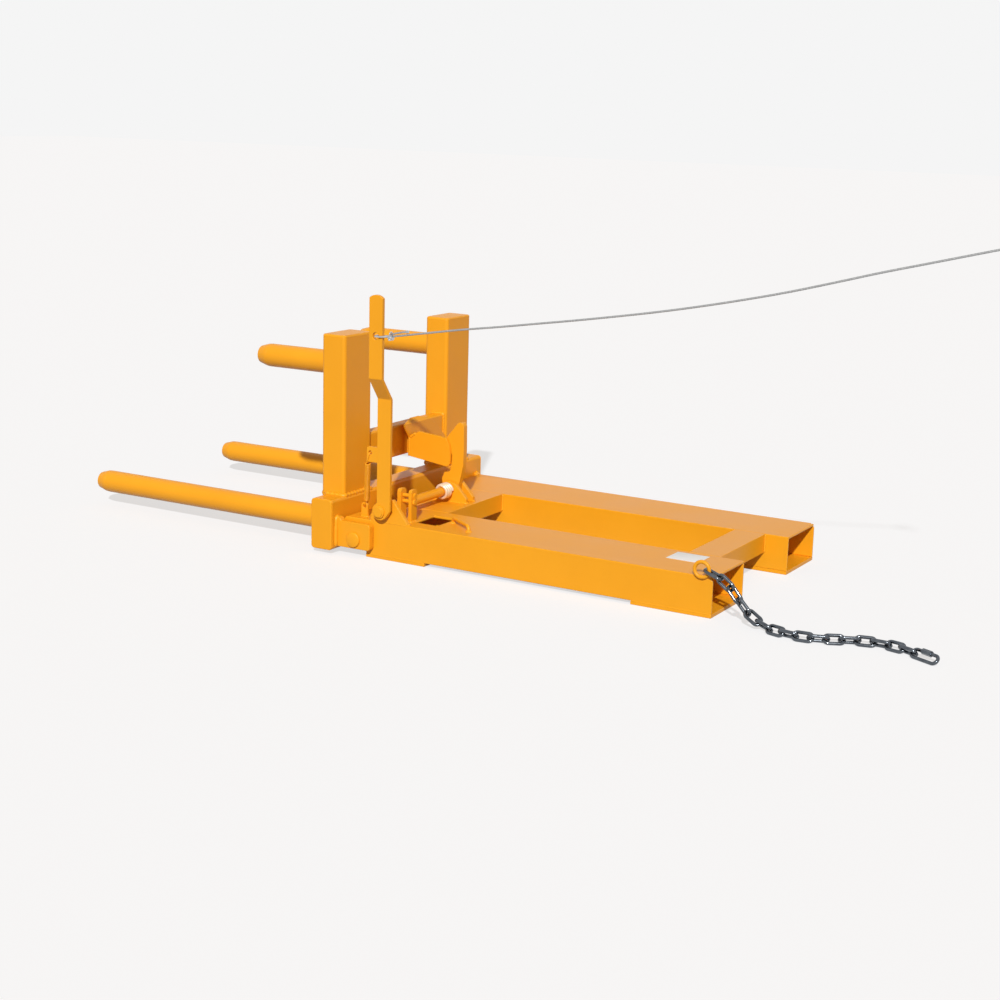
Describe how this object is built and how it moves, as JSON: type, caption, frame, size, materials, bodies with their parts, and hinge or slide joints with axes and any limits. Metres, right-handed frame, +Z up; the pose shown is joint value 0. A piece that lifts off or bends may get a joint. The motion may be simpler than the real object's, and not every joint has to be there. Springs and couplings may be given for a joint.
{
  "type": "forklift drum rotator",
  "caption": "Fork-mounted drum rotator: fork sleeves, tilting frame with round drum arms, and a rope-released catch hook.",
  "frame": {"origin": "on the floor, on the centre plane between the two fork sleeves, straight below the axis of the tilt pins", "axes": "+X runs along the fork sleeves to their open ends, where the truck's forks enter; +Y points to the side without the release lever; +Z up. The drum arms point along -X and hold the drum lying along them."},
  "size_m": [2.5743, 0.7575, 0.9107],
  "materials": {
    "orange_paint": "orange gloss enamel, a little worn",
    "zinc_chain": "bright zinc plated",
    "galvanised_rope": "dull galvanised steel wire rope",
    "spring_steel": "pale zinc plated spring wire",
    "bare_steel": "bare turned steel"
  },
  "bodies": {
    "fork_frame": {"near_sleeve": "orange_paint", "far_sleeve": "orange_paint", "near_straps": "orange_paint", "far_straps": "orange_paint", "front_cross_member": "orange_paint", "rear_cross_member": "orange_paint", "near_hinge_doubler": "orange_paint", "far_hinge_doubler": "orange_paint", "nose_plates": "orange_paint", "near_shaft_lug": "orange_paint", "hook_lugs": "orange_paint", "stop_posts": "orange_paint", "stop_bolts": "orange_paint", "spring_anchor": "orange_paint", "return_spring": "orange_paint", "hook_spring": "spring_steel", "guide_staple": "orange_paint", "chain_ring": "orange_paint", "safety_chain": "zinc_chain", "chain_end_hook": "zinc_chain", "pull_rope": "galvanised_rope", "rope_end_loop": "galvanised_rope"},
    "tilt_frame": {"hinge_beam": "orange_paint", "beam_end_caps": "orange_paint", "near_post": "orange_paint", "far_post": "orange_paint", "post_caps": "orange_paint", "cross_bar": "orange_paint", "near_lower_arm": "orange_paint", "far_lower_arm": "orange_paint", "near_upper_arm": "orange_paint", "far_upper_arm": "orange_paint", "arm_tips": "orange_paint", "outer_ears": "orange_paint", "inner_ears": "orange_paint", "near_tilt_pin": "orange_paint", "far_tilt_pin": "orange_paint", "pin_washers": "orange_paint", "pin_nuts": "bare_steel", "stop_pads": "orange_paint", "catch_base": "orange_paint", "catch_cheeks": "orange_paint", "catch_pin": "bare_steel"},
    "latch": {"lever_bar": "orange_paint", "lever_hub": "orange_paint", "lever_bolt": "orange_paint", "latch_shaft": "orange_paint", "catch_hook": "orange_paint", "shaft_collars": "orange_paint", "spring_tab": "orange_paint", "rope_eye": "galvanised_rope", "rope_clip": "galvanised_rope"}
  },
  "joints": [
    {"name": "tilt_hinge", "type": "hinge", "parent": "fork_frame", "child": "tilt_frame", "pos_m": [0, 0, 0.045], "axis": [0, -1, 0], "range_deg": [0, 90]},
    {"name": "latch_pivot", "type": "hinge", "parent": "fork_frame", "child": "latch", "pos_m": [0.078, 0, 0.128], "axis": [0, 1, 0], "range_deg": [0, 30], "stiffness_Nm_per_rad": 20, "springref_deg": -28.65, "deforming": ["return_spring", "pull_rope"]}
  ]
}
